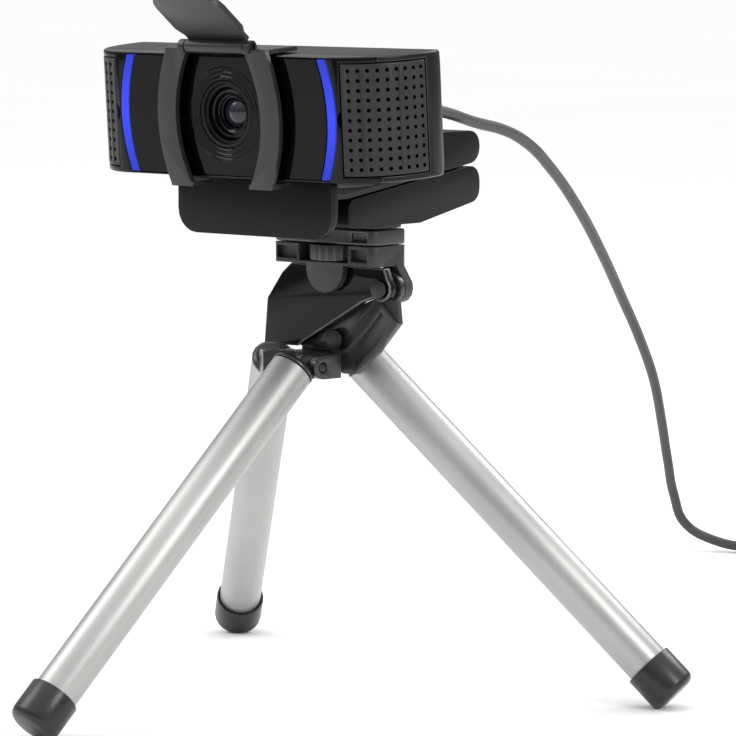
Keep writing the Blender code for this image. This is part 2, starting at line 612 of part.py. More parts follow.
def end_stretch(start, end, inset, steps):
    """Part of that superellipse, between two angles in degrees, set in from the surface."""
    half = CAM_HALF_WIDTH - CAM_FLAT_HALF - inset
    sweep = END_SWEEP - inset
    turns = [math.radians(start + (end - start) * k / steps) for k in range(steps + 1)]
    centre = (CAM_FLAT_HALF, CAM_FRONT + END_SWEEP)
    outward = [max(math.sin(t), 0) ** END_POWER for t in turns]
    forward = [max(math.cos(t), 0) ** END_POWER for t in turns]
    return [(centre[0] + half * x, centre[1] - sweep * y) for x, y in zip(outward, forward)]


def mirror_x(points):
    return [(-x, y) for x, y in reversed(points)]


def strip_edge(base, z):
    """Half width of the bowed edge at a height: it bulges most at mid height."""
    share = (z - CAM_MID) / (CAM_HEIGHT / 2)
    return base + STRIP_BULGE * (1 - share * share)


def bowed(base, low, high, steps):
    heights = [low + (high - low) * k / steps for k in range(steps + 1)]
    return [(strip_edge(base, z), z) for z in heights]


def make_webcam(cam):
    """The camera's housing, glass, light strips, grilles, lens and boards."""
    shell = casing("rear_shell", "black_satin", cam)
    frame = casing("front_frame", "black_gloss", cam)
    wide = CAM_HALF_WIDTH + 2
    wall = SHELL_WALL
    ahead = box((-wide, CAM_FRONT - 5, CAM_BOTTOM - 5), (wide, FRAME_BACK + GAP, CAM_TOP + 5))
    behind = box((-wide, FRAME_BACK, CAM_BOTTOM - 5), (wide, CAM_BACK + 5, CAM_TOP + 5))
    deep = [(CAM_HALF_WIDTH - 8, FRAME_BACK - 1), (CAM_HALF_WIDTH - 3.4, CAM_BACK - 9)]
    deep += [(CAM_HALF_WIDTH - 9, CAM_BACK - REAR_BULGE - wall)]
    cavity = prism(deep + mirror_x(deep), "Z", CAM_BOTTOM + wall + 0.4, CAM_TOP - wall - 0.4)
    cord_hole = rod("Y", (GLAND_X, 0, GLAND_Z), 2.6, CAM_BACK - 9, CAM_BACK + 3, 12)
    shell_cuts = [ahead, cavity, cord_hole]
    window = box((-CAM_FLAT_HALF + 4, CAM_FRONT - 2, CAM_BOTTOM + 4),
        (CAM_FLAT_HALF - 4, FRAME_BACK + 2, CAM_TOP - 4))
    reach = GLASS_HALF + STRIP_WIDTH + 2 * GAP
    recess = bowed(reach, CAM_BOTTOM + GLASS_RIM - GAP, CAM_TOP - GLASS_RIM + GAP, 8)
    recess = prism(recess + mirror_x(recess), "Y", CAM_FRONT - 2, CAM_FRONT + GLASS_THICK + GAP)
    frame_cuts = [behind, window, recess]
    for sign in (-1, 1):
        shell_cuts.append(grille_band(sign, 1.5, GRILLE_THICK + GAP, GAP))
        frame_cuts.append(grille_band(sign, 1.5, GRILLE_THICK + GAP, GAP))
        frame_cuts.append(rod("Y", (sign * 37.5, 0, CAM_MID), 2.8, CAM_FRONT - 3, FRAME_BACK + 3, 12))
    combine(shell, [piece(f"cut_shell_{i}", s, "black_satin", cam) for i, s in enumerate(shell_cuts)],
        "DIFFERENCE")
    combine(frame, [piece(f"cut_frame_{i}", s, "black_gloss", cam) for i, s in enumerate(frame_cuts)],
        "DIFFERENCE")

    right = bowed(GLASS_HALF, CAM_BOTTOM + GLASS_RIM, CAM_TOP - GLASS_RIM, 8)
    outline = right + [(-x, z) for x, z in reversed(right)]
    glass = piece("front_glass", prism(outline, "Y", CAM_FRONT, CAM_FRONT + GLASS_THICK), "glass", cam)
    hole = rod("Y", (0, 0, LENS_Z), BARREL_RADIUS + GAP, CAM_FRONT - 3, CAM_FRONT + 4, 24)
    combine(glass, [piece("cut_glass_lens", hole, "glass", cam)], "DIFFERENCE")

    for name, sign in (("left", -1), ("right", 1)):
        inner = bowed(GLASS_HALF + GAP, CAM_BOTTOM + GLASS_RIM, CAM_TOP - GLASS_RIM, 8)
        outer = bowed(GLASS_HALF + GAP + STRIP_WIDTH, CAM_BOTTOM + GLASS_RIM, CAM_TOP - GLASS_RIM, 8)
        outline = [(sign * x, z) for x, z in inner + outer[::-1]]
        strip = prism(outline, "Y", CAM_FRONT + 0.1, CAM_FRONT + GLASS_THICK)
        piece(f"{name}_light_strip", strip, "light_guide", cam)
        make_grille(name, sign, cam)
        capsule = rod("Y", (sign * 37.5, 0, CAM_MID), 2.2, FRAME_BACK - 0.9, FRAME_BACK + 1.8, 12)
        piece(f"{name}_microphone", capsule, "steel", cam)

    ring = [(BARREL_RADIUS, CAM_FRONT + 0.2), (BARREL_RADIUS, -18.5), (LENS_RADIUS + GAP, -18.5)]
    ring += [(LENS_RADIUS + GAP, CAM_FRONT + 2.6), (BARREL_RADIUS - 0.6, CAM_FRONT + 0.2)]
    barrel = aim(turned(ring, 28, closed=True), "Y", (0, 0, LENS_Z))
    piece("lens_barrel", barrel, "black_satin", cam)
    cell = [(LENS_RADIUS, -23.6), (LENS_RADIUS, -18.8), (3.8, -18.8), (3.8, -23.0),
        (LENS_RADIUS - 1.0, -23.6)]
    piece("lens_cell", aim(turned(cell, 24, closed=True), "Y", (0, 0, LENS_Z)), "steel", cam)
    dome = [(0, -23.4), (1.6, -23.2), (2.8, -22.7), (3.5, -22.0), (3.5, -19.4), (0, -19.4)]
    piece("lens_element", aim(turned(dome, 20), "Y", (0, 0, LENS_Z)), "glass", cam)
    board = box((-8.5, -18.1, LENS_Z - 8.5), (8.5, -17.0, LENS_Z + 8.5))
    piece("sensor_board", board, "board_green", cam)
    chip = box((-3.4, -16.6, LENS_Z - 3.4), (3.4, -15.6, LENS_Z + 3.4))
    piece("image_chip", chip, "black_satin", cam)
    main = box((-37, -14.6, CAM_BOTTOM + 4), (37, -13.2, CAM_TOP - 4))
    piece("main_board", main, "board_green", cam)

    outline = arc((0, 0), TILT_RADIUS, -90, 90, 8)
    outline += [(-2.1, TILT_RADIUS), (-2.6, 1.2), (-5.2, CAM_BOTTOM - GAP - 0.1),
        (-13.0, CAM_BOTTOM - GAP - 0.1)]
    outline += [(-13.0, -1.0), (-4.0, -1.6)]
    neck = prism(outline, "X", -NECK_HALF_WIDTH, NECK_HALF_WIDTH)
    made = piece("tilt_neck", neck, "black_satin", cam)
    bore = rod("X", (0, 0, 0), TILT_PIN_RADIUS + GAP, -NECK_HALF_WIDTH - 1, NECK_HALF_WIDTH + 1, 12)
    combine(made, [piece("cut_neck_pin", bore, "black_satin", cam)], "DIFFERENCE")

    relief = [(0, CAM_BACK - 1.0), (2.3, CAM_BACK - 1.0), (2.3, CAM_BACK + 0.6), (3.3, CAM_BACK + 0.6),
        (3.3, CAM_BACK + 2.0)]
    relief += [(2.2, CAM_BACK + GLAND_LENGTH), (0, CAM_BACK + GLAND_LENGTH)]
    piece("cable_gland", aim(turned(relief, 16), "Y", (GLAND_X, 0, GLAND_Z)), "black_satin", cam)


def casing(name, look, cam):
    """The whole outside of the camera body, of which the front frame and rear shell each keep a part."""
    side = CAM_FRONT + END_SWEEP
    rear = [(REAR_CORNER * (1 - math.cos(t)), (CAM_BACK - side) * math.sin(t)) for t in quarter_steps(6)]
    right = end_curve(0, 10) + [(CAM_HALF_WIDTH - x, side + y) for x, y in rear[1:]]
    body = piece(name, prism(right + mirror_x(right), "Z", CAM_BOTTOM, CAM_TOP), look, cam)
    profile = [(CAM_FRONT - 3, CAM_TOP + 2), (CAM_FRONT - 3, CAM_BOTTOM - 2)]
    for k in range(9):
        z = CAM_BOTTOM - 2 + (CAM_HEIGHT + 4) * k / 8
        share = (z - CAM_MID) / (CAM_HEIGHT / 2)
        profile.append((CAM_BACK - REAR_BULGE * share * share, z))
    bulge = prism(profile, "X", -CAM_HALF_WIDTH - 2, CAM_HALF_WIDTH + 2)
    combine(body, [piece(f"keep_{name}", bulge, look, cam)], "INTERSECT")
    soften = body.modifiers.new("soft_edges", "BEVEL")
    soften.width = CASE_ROUND * MM
    soften.segments = 2
    soften.limit_method = "ANGLE"
    soften.angle_limit = math.radians(60)
    return body


def grille_band(sign, out, depth, grow):
    """The curved band that a grille fills, from beside the light strip round to the side."""
    start_x = GLASS_HALF + STRIP_WIDTH + STRIP_BULGE + 4 * GAP
    start = math.degrees(math.asin((start_x - CAM_FLAT_HALF) / (CAM_HALF_WIDTH - CAM_FLAT_HALF)))
    margin = math.degrees(grow / (CAM_HALF_WIDTH - CAM_FLAT_HALF))
    outer = end_stretch(start - margin, GRILLE_END + margin, -out, 7)
    inner = end_stretch(start - margin, GRILLE_END + margin, depth, 7)
    outline = [(sign * x, y) for x, y in outer + inner[::-1]]
    return prism(outline, "Z", CAM_BOTTOM + GRILLE_RIM - grow, CAM_TOP - GRILLE_RIM + grow)


def make_grille(name, sign, cam):
    piece(f"{name}_grille", grille_band(sign, 0, GRILLE_THICK, 0), "grille_grey", cam)


# ---------------------------------------------------------------- shutter
SHUTTER_FRONT = CAM_FRONT - SHUTTER_STANDOFF - SHUTTER_THICK


def shutter_arm(sign):
    """One bowed arm that holds the shutter to the front of the camera."""
    low = CAM_BOTTOM - 2.0
    high = CAM_TOP + 1.2
    steps = 10
    outer = []
    inner = []
    for k in range(steps + 1):
        share = 2 * k / steps - 1
        bow = 1 - share * share
        z = low + (high - low) * k / steps
        centre = ARM_END + (ARM_MID - ARM_END) * bow
        half = (ARM_WIDTH_END + (ARM_WIDTH_MID - ARM_WIDTH_END) * bow) / 2
        outer.append((sign * (centre + half), z))
        inner.append((sign * (centre - half), z))
    return prism(outer + inner[::-1], "Y", SHUTTER_FRONT, SHUTTER_FRONT + SHUTTER_THICK)


def make_shutter(cam):
    """A clip of two bowed arms over the camera's front, and the flap that swings down over the lens."""
    front = SHUTTER_FRONT
    top = CAM_TOP + 0.4
    clip = piece("shutter_clip", shutter_arm(1), "grey_satin", cam)
    half = ARM_END + ARM_WIDTH_END / 2
    shapes = [shutter_arm(-1), box((-half, front, top), (half, CAM_FRONT + 9, top + 1.1))]
    for sign in (-1, 1):
        hooks = (sign * (half - ARM_WIDTH_END), sign * half)
        shapes.append(box((min(hooks), front, CAM_BOTTOM - 2.0),
            (max(hooks), CAM_FRONT + 4, CAM_BOTTOM - 0.9)))
        near = sign * (FLAP_HALF - 1.0)
        ends = (near, near + sign * 1.8)
        outline = arc((SHUTTER_PIN_Y, SHUTTER_PIN_Z), SHUTTER_KNUCKLE, 0, 180, 6)
        outline += [(SHUTTER_PIN_Y - SHUTTER_KNUCKLE, top + 0.2), (CAM_FRONT, top + 0.2),
            (CAM_FRONT, top + 1.0)]
        shapes.append(prism(outline, "X", min(ends), max(ends)))
    combine(clip, [piece(f"join_shutter_{i}", s, "grey_satin", cam) for i, s in enumerate(shapes)], "UNION")
    bore = rod("X", (0, SHUTTER_PIN_Y, SHUTTER_PIN_Z), SHUTTER_PIN_RADIUS + GAP, -20, 20, 10)
    room = rod("X", (0, SHUTTER_PIN_Y, SHUTTER_PIN_Z), SHUTTER_KNUCKLE + GAP, -FLAP_HALF + 1.0,
        FLAP_HALF - 1.0, 14)
    cuts = [piece("cut_shutter_pin", bore, "grey_satin", cam),
        piece("cut_shutter_room", room, "grey_satin", cam)]
    combine(clip, cuts, "DIFFERENCE")
    reach = FLAP_HALF + 0.6
    pin = rod("X", (0, SHUTTER_PIN_Y, SHUTTER_PIN_Z), SHUTTER_PIN_RADIUS, -reach, reach, 10)
    piece("shutter_pin", pin, "steel", cam)

    swing = math.radians(FLAP_OPEN + 90)
    flap_frame = empty("shutter_hinge", (0, SHUTTER_PIN_Y, SHUTTER_PIN_Z), cam, (-swing, 0, 0))
    wide = FLAP_HALF
    neck = FLAP_HALF - 1.0 - GAP
    outline = [(-neck, -0.4, 0), (neck, -0.4, 0), (neck, -2.6, 0), (wide, -5.0, 1.5),
        (wide, -FLAP_LENGTH, 5.0)]
    outline += [(-wide, -FLAP_LENGTH, 5.0), (-wide, -5.0, 1.5), (-neck, -2.6, 0)]
    plane = SHUTTER_FRONT - GAP - SHUTTER_PIN_Y
    panel = prism(fillet(outline, 1.0, 4), "Y", plane - SHUTTER_THICK, plane)
    flap = piece("shutter_flap", panel, "black_satin", flap_frame)
    barrel = rod("X", (0, 0, 0), SHUTTER_KNUCKLE, -neck, neck, 14)
    lip = box((-wide + 4, plane - FLAP_LIP, -FLAP_LENGTH), (wide - 4, plane - 0.4, -FLAP_LENGTH + 1.4))
    shapes = [barrel, lip]
    combine(flap, [piece(f"join_flap_{i}", s, "black_satin", flap_frame) for i, s in enumerate(shapes)],
        "UNION")
    bore = rod("X", (0, 0, 0), SHUTTER_PIN_RADIUS + GAP, -20, 20, 10)
    combine(flap, [piece("cut_flap_pin", bore, "black_satin", flap_frame)], "DIFFERENCE")


# ---------------------------------------------------------------- cord
# Points in metres in the world frame, from the gland down to the floor and out to the coil
CORD_ROUTE = (
    (0.022, 0.017, 0.148),
    (0.022, 0.027, 0.147),
    (0.021, 0.040, 0.145),
    (0.018, 0.055, 0.142),
    (0.015, 0.072, 0.139),
    (0.012, 0.085, 0.135),
    (0.006, 0.102, 0.128),
    (-0.004, 0.126, 0.117),
    (-0.019, 0.158, 0.101),
    (-0.032, 0.185, 0.086),
    (-0.041, 0.206, 0.072),
    (-0.049, 0.224, 0.058),
    (-0.057, 0.239, 0.044),
    (-0.064, 0.252, 0.030),
    (-0.068, 0.261, 0.018),
    (-0.069, 0.269, 0.008),
    (-0.063, 0.275, 0.003),
    (-0.050, 0.277, 0.0015),
    (-0.037, 0.275, 0.0015),
)


def smooth_route(points, spacing):
    """Evenly spaced points on a smooth curve through the route's own points."""
    knots = [Vector(p) for p in points]
    knots = [2 * knots[0] - knots[1]] + knots + [2 * knots[-1] - knots[-2]]
    dense = []
    for a, b, c, d in zip(knots, knots[1:], knots[2:], knots[3:]):
        for k in range(24):
            t = k / 24
            squared = (2 * a - 5 * b + 4 * c - d) * t**2
            cubed = (3 * b - a - 3 * c + d) * t**3
            dense.append(0.5 * (2 * b + (c - a) * t + squared + cubed))
    dense.append(knots[-2])
    spaced = [dense[0]]
    for point in dense:
        if (point - spaced[-1]).length >= spacing:
            spaced.append(point)
    spaced[-1] = dense[-1]
    return spaced


def make_cord():
    """The cord where it hangs and lies, the coil of the rest of its length, its tie and its plug."""
    route = smooth_route(CORD_ROUTE, 2.5 * 2 * CORD_RADIUS * MM)
    curve = bpy.data.curves.new("cord_lead", "CURVE")
    curve.dimensions = "3D"
    curve.bevel_depth = CORD_RADIUS * MM
    curve.bevel_resolution = 2
    curve.use_fill_caps = True
    line = curve.splines.new("POLY")
    line.points.add(len(route) - 1)
    for spot, point in zip(line.points, route):
        spot.co = (*point, 1)
    curve.materials.append(finish("rubber"))
    lead = bpy.data.objects.new("cord_lead", curve)
    bpy.context.collection.objects.link(lead)

    place = empty("coil_place", (*COIL_CENTRE, 0))
    low = TIE_THICK + GAP
    inner = COIL_MID_RADIUS - COIL_HALF_WIDTH
    outer = COIL_MID_RADIUS + COIL_HALF_WIDTH
    high = low + COIL_HEIGHT
    ring = [(outer, low), (outer, high), (inner, high), (inner, low)]
    piece("cord_coil", turned(ring, 28, closed=True), "rubber", place)
    half = COIL_HALF_WIDTH + 2 * GAP
    loop = box((-half - TIE_THICK, -TIE_LENGTH / 2, 0),
        (half + TIE_THICK, TIE_LENGTH / 2, high + GAP + TIE_THICK))
    tie_place = empty("tie_place", (COIL_MID_RADIUS, 0, 0), place)
    tie = piece("cord_tie", loop, "rubber", tie_place)
    hole = box((-half, -TIE_LENGTH, TIE_THICK), (half, TIE_LENGTH, high + GAP))
    combine(tie, [piece("cut_tie", hole, "rubber", tie_place)], "DIFFERENCE")

    side = outer - CORD_RADIUS
    body = [(-3.4, 0), (-2.4, -9), (2.4, -9), (3.4, 0), (6.0, 2), (6.0, 20), (-6.0, 20), (-6.0, 2)]
    plug_place = empty("plug_place", (side, -21.5, 0), place, (0, 0, math.pi))
    housing = prism(fillet(body, 1.2, 3), "Z", 0, 8.0)
    piece("usb_plug", housing, "black_satin", plug_place)
    shell = piece("usb_shell", box((-6.0, 20 + GAP, 1.9), (6.0, 32.0, 6.4)), "steel", plug_place)
    mouth = box((-5.6, 23.0, 2.3), (5.6, 33.0, 6.0))
    combine(shell, [piece("cut_usb_mouth", mouth, "steel", plug_place)], "DIFFERENCE")


def main():
    clear_scene()
    stand = empty("stand", (STAND_X, STAND_Y, 0))
    bpy.context.view_layer.update()
    leg_frames = [make_leg(name, heading, stand) for name, heading in zip(LEG_NAMES, LEG_HEADINGS)]
    make_hub(stand, leg_frames)
    head_at = (HINGE_X, 0, HINGE_Z)
    head = empty("head_hinge", head_at, stand)
    head_shift = [-v for v in head_at]
    make_head(head, head_shift)
    fold_at = (HEAD_X, FOLD_Y, FOLD_Z)
    fold = empty("fold_hinge", [a - b for a, b in zip(fold_at, head_at)], head)
    fold_shift = [-v for v in fold_at]
    make_clip(head, head_shift, fold, fold_shift)
    tilt_at = (HEAD_X, TILT_Y, TILT_Z)
    cam = empty("tilt_hinge", [a - b for a, b in zip(tilt_at, fold_at)], fold, (math.radians(PITCH), 0, 0))
    make_webcam(cam)
    make_shutter(cam)
    make_cord()


main()
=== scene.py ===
import json
import math

import bmesh
import bpy
from mathutils import Matrix, Vector

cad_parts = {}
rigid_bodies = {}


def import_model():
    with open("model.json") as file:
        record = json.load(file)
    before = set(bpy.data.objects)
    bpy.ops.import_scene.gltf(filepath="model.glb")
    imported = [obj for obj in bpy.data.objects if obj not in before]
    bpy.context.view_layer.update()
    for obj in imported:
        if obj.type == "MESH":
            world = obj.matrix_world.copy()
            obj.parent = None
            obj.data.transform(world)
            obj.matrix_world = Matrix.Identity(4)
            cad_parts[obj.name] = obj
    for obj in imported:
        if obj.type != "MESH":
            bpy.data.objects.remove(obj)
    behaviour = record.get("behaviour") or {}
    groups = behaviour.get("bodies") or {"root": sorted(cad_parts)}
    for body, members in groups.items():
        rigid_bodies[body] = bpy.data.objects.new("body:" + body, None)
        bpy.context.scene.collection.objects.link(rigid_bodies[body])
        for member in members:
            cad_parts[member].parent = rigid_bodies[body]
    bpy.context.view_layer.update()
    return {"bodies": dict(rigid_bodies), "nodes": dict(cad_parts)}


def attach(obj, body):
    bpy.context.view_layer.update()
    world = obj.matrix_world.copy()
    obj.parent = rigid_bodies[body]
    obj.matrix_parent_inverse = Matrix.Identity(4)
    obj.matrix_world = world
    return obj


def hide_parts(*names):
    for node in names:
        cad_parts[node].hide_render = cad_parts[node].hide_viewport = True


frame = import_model()
nodes = frame["nodes"]
mm = 0.001
print("frame loaded with", len(nodes), "nodes")


# a small wrapper so that sums of sockets read as sums
class Wire:
    def __init__(self, finish, socket):
        self.finish = finish
        self.socket = socket

    def maths(self, operation, left, right):
        return self.finish.node("ShaderNodeMath", {"operation": operation}, {0: left, 1: right})

    def __add__(self, other):
        return self.maths("ADD", self, other)

    def __sub__(self, other):
        return self.maths("SUBTRACT", self, other)

    def __rsub__(self, other):
        return self.maths("SUBTRACT", other, self)

    def __mul__(self, other):
        return self.maths("MULTIPLY", self, other)

    __radd__ = __add__
    __rmul__ = __mul__


class Finish:
    def __init__(self, name, constants):
        self.material = bpy.data.materials.new(name)
        self.material.use_nodes = True
        self.tree = self.material.node_tree
        self.shader = self.tree.nodes["Principled BSDF"]
        for socketName, value in constants.items():
            self.shader.inputs[socketName].default_value = value
        self.place = self.node("ShaderNodeTexCoord", {}, {}, "Object")

    # any node: its settings first, then the values or links of its sockets
    def node(self, kind, settings, inputs, output=0):
        made = self.tree.nodes.new(kind)
        for key, value in settings.items():
            setattr(made, key, value)
        for key, value in inputs.items():
            if isinstance(value, Wire):
                self.tree.links.new(value.socket, made.inputs[key])
            else:
                made.inputs[key].default_value = value
        return Wire(self, made.outputs[output])

    def noise(self, scale, detail=3.0, place=None):
        inputs = {"Vector": place or self.place, "Scale": scale, "Detail": detail}
        return self.node("ShaderNodeTexNoise", {}, inputs)

    def spread(self, value, low, high, start=0.0, end=1.0):
        inputs = {"Value": value, "From Min": low, "From Max": high, "To Min": start, "To Max": end}
        return self.node("ShaderNodeMapRange", {}, inputs)

    def mix(self, share, dark, light):
        return self.node("ShaderNodeMix", {"data_type": "RGBA"}, {0: share, 6: dark, 7: light}, 2)

    def stretched(self, scale, turn=(0, 0, 0)):
        return self.node("ShaderNodeMapping", {}, {"Vector": self.place, "Scale": scale, "Rotation": turn})

    def feed(self, socketName, wire):
        self.tree.links.new(wire.socket, self.shader.inputs[socketName])

    def bump(self, height, strength, distance):
        inputs = {"Height": height, "Strength": strength, "Distance": distance}
        self.feed("Normal", self.node("ShaderNodeBump", {}, inputs))


def shade(level, tint=(1.0, 1.0, 1.0)):
    return (level * tint[0], level * tint[1], level * tint[2], 1.0)


# moulded plastic: fine spark texture, faint cloudiness and a few dull patches
def mouldedPlastic(
    name, level, roughness, grain, tint=(1.0, 1.0, 1.0), coat=0.0, relief=0.00003, reflect=0.5
):
    finish = Finish(name, {"Specular IOR Level": reflect, "Coat Roughness": 0.12})
    cloud = finish.noise(55.0, 4.0)
    speck = finish.noise(grain, 2.0)
    share = finish.spread(cloud * 0.6 + speck * 0.4, 0.35, 0.65)
    finish.feed("Base Color", finish.mix(share, shade(level * 0.84, tint), shade(level * 1.18, tint)))
    finish.feed("Roughness", finish.spread(cloud + speck * 0.5, 0.5, 1.0, roughness - 0.05, roughness + 0.06))
    if coat:
        finish.feed("Coat Weight", finish.spread(cloud, 0.3, 0.7, coat * 0.8, coat))
    finish.bump(speck, 0.6, relief)
    return finish


# anodised tube: bead-blasted grain with faint cloudiness
def anodised(name, level, roughness):
    finish = Finish(name, {"Specular IOR Level": 0.5})
    grain = finish.noise(3400.0, 2.0)
    cloud = finish.noise(38.0, 3.0)
    share = finish.spread(cloud * 0.7 + grain * 0.3, 0.35, 0.65)
    dull = shade(level * 0.9, (1.0, 0.985, 0.965))
    bright = shade(level * 1.06, (1.0, 0.99, 0.97))
    finish.feed("Base Color", finish.mix(share, dull, bright))
    finish.feed("Roughness", finish.spread(grain + cloud, 0.7, 1.3, roughness - 0.04, roughness + 0.05))
    finish.feed("Metallic", finish.spread(cloud, 0.3, 0.7, 0.78, 0.86))
    finish.bump(grain, 0.5, 0.00004)
    return finish


def turnedMetal(name, colour, roughness):
    finish = Finish(name, {"Specular IOR Level": 0.5})
    streak = finish.noise(900.0, 3.0, finish.stretched((1.0, 1.0, 7.0)))
    tarnish = finish.noise(160.0, 4.0)
    dark = (colour[0] * 0.72, colour[1] * 0.7, colour[2] * 0.68, 1.0)
    finish.feed("Base Color", finish.mix(finish.spread(tarnish, 0.35, 0.7), colour, dark))
    worn = finish.spread(streak + tarnish * 0.5, 0.5, 1.0, roughness - 0.07, roughness + 0.1)
    finish.feed("Roughness", worn)
    finish.feed("Metallic", finish.spread(tarnish, 0.2, 0.9, 1.0, 0.93))
    finish.bump(streak, 0.4, 0.00002)
    return finish


# gloss black: polished skin with soft smears and a little dust
def glossBlack(name, level, roughness, reflect):
    finish = Finish(name, {"Specular IOR Level": reflect})
    smear = finish.noise(70.0, 4.0, finish.stretched((1.0, 1.0, 2.4), (0.0, 0.5, 0.2)))
    dust = finish.noise(2600.0, 1.0)
    share = finish.spread(dust, 0.68, 0.8)
    finish.feed("Base Color", finish.mix(share, shade(level), shade(level * 2.2, (1.0, 1.0, 1.06))))
    finish.feed("Roughness", finish.spread(smear, 0.35, 0.7, roughness * 0.7, roughness * 1.5))
    finish.bump(smear, 0.15, 0.00004)
    return finish


def rubber(name, level, roughness, coat=0.0):
    finish = Finish(name, {"Specular IOR Level": 0.45, "Coat Roughness": 0.2})
    speck = finish.noise(1900.0, 3.0)
    bloom = finish.noise(90.0, 4.0)
    share = finish.spread(bloom, 0.4, 0.75)
    finish.feed("Base Color", finish.mix(share, shade(level), shade(level * 1.5, (1.0, 0.99, 0.97))))
    finish.feed("Roughness", finish.spread(speck + bloom, 0.7, 1.3, roughness - 0.06, roughness + 0.08))
    if coat:
        finish.feed("Coat Weight", finish.spread(bloom, 0.3, 0.7, coat, coat * 0.7))
    finish.bump(speck, 0.5, 0.00003)
    return finish


# light guide: blue, a little brighter in the middle of its height and slightly cloudy
def lightGuide(name, middle):
    finish = Finish(name, {"Emission Strength": 1.0, "Specular IOR Level": 0.2})
    apart = finish.node("ShaderNodeSeparateXYZ", {}, {"Vector": finish.place}, "Z")
    away = finish.node("ShaderNodeMath", {"operation": "ABSOLUTE"}, {0: apart - middle})
    cloud = finish.noise(400.0, 2.0)
    share = finish.spread(away + cloud * 0.004, 0.002, 0.017)
    finish.feed("Emission Color", finish.mix(share, (0.03, 0.055, 0.82, 1.0), (0.012, 0.025, 0.4, 1.0)))
    finish.feed("Base Color", finish.mix(cloud, (0.005, 0.01, 0.12, 1.0), (0.01, 0.02, 0.2, 1.0)))
    finish.feed("Roughness", finish.spread(cloud, 0.3, 0.7, 0.28, 0.4))
    return finish


def coatedLens(name):
    finish = Finish(name, {"Specular IOR Level": 0.4, "Coat Roughness": 0.02})
    edge = finish.node("ShaderNodeLayerWeight", {}, {"Blend": 0.4}, "Facing")
    tint = finish.noise(180.0, 2.0)
    share = finish.spread(edge + tint * 0.3, 0.2, 0.9)
    blueBlack = (0.012, 0.014, 0.02, 1.0)
    violet = (0.03, 0.012, 0.045, 1.0)
    finish.feed("Base Color", finish.mix(share, blueBlack, violet))
    finish.feed("Roughness", finish.spread(tint, 0.3, 0.7, 0.04, 0.09))
    finish.feed("Coat Weight", finish.spread(tint, 0.3, 0.7, 0.4, 0.3))
    return finish


def circuitBoard(name):
    finish = Finish(name, {"Specular IOR Level": 0.5})
    upright = finish.stretched((1.0, 1.0, 1.0), (1.5708, 0.0, 0.0))
    inputs = {"Vector": upright, "Scale": 420.0, "Mortar Size": 0.05}
    tracks = finish.node("ShaderNodeTexBrick", {"offset": 0.3}, inputs, 1)
    cloud = finish.noise(300.0, 3.0)
    finish.feed("Base Color", finish.mix(tracks, (0.01, 0.09, 0.035, 1.0), (0.03, 0.2, 0.07, 1.0)))
    finish.feed("Roughness", finish.spread(cloud, 0.3, 0.7, 0.3, 0.45))
    finish.bump(tracks, 0.5, 0.00004)
    return finish


finishes = {
    "satin_aluminium": anodised("satinTube", 0.46, 0.42),
    "steel": turnedMetal("turnedSteel", (0.55, 0.55, 0.56, 1.0), 0.3),
    "brass": turnedMetal("turnedBrass", (0.72, 0.52, 0.24, 1.0), 0.3),
    "black_gloss": glossBlack("pianoBlack", 0.0015, 0.14, 0.22),
    "black_satin": mouldedPlastic("satinBlackPlastic", 0.004, 0.36, 2200.0, reflect=0.22),
    "grey_satin": mouldedPlastic("satinGreyPlastic", 0.015, 0.36, 2300.0, (1.0, 1.0, 1.02), reflect=0.3),
    "grille_grey": mouldedPlastic("grillePaint", 0.017, 0.42, 2600.0, reflect=0.35),
    "glass": glossBlack("frontGlass", 0.0012, 0.07, 0.16),
    "light_guide": lightGuide("blueLightGuide", 0.1465),
    "rubber": rubber("footRubber", 0.004, 0.36, 0.25),
    "board_green": circuitBoard("circuitBoard"),
}
cordSheath = rubber("cordSheath", 0.04, 0.5)
holeShadow = mouldedPlastic("holeShadow", 0.0015, 0.8, 1500.0, reflect=0.1)
lensCoat = coatedLens("coatedLens")
platformGrey = mouldedPlastic("platformGrey", 0.026, 0.4, 1500.0, relief=0.00008, reflect=0.45)
shutterGrey = mouldedPlastic("shutterGrey", 0.017, 0.34, 2100.0, reflect=0.5)
hubGrey = mouldedPlastic("hubGrey", 0.02, 0.3, 2400.0, coat=0.2, reflect=0.45)
clipBlack = mouldedPlastic("clipBlack", 0.003, 0.38, 1900.0, reflect=0.2)
blackenedSteel = turnedMetal("blackenedSteel", (0.05, 0.05, 0.052, 1.0), 0.34)
# lighter copies of the plastics for rounded edges: painted highlights along the edges
paintedHighlightGrey = mouldedPlastic("paintedHighlightGrey", 0.05, 0.3, 2300.0, reflect=0.6)
paintedHighlightBlack = mouldedPlastic("paintedHighlightBlack", 0.016, 0.3, 2000.0, reflect=0.6)
paintedHighlightGloss = mouldedPlastic("paintedHighlightGloss", 0.09, 0.2, 2600.0, reflect=0.8)
print("materials made")

# camera, lights and floor; the camera in millimetres
cameraSettings = {
    "place": (677.5, -772.5, 193.3), "target": (6.4, 27.3, 81.4), "lens": 206.0, "sensor": 36.0,
}
camera = bpy.data.objects.new("camera", bpy.data.cameras.new("camera"))
bpy.context.collection.objects.link(camera)
camera.location = Vector(cameraSettings["place"]) * mm
sight = Vector(cameraSettings["target"]) - Vector(cameraSettings["place"])
camera.rotation_euler = sight.to_track_quat("-Z", "Y").to_euler()
camera.data.lens = cameraSettings["lens"]
camera.data.sensor_width = cameraSettings["sensor"]
camera.data.clip_start = 0.01
camera.data.clip_end = 100.0
bpy.context.scene.camera = camera

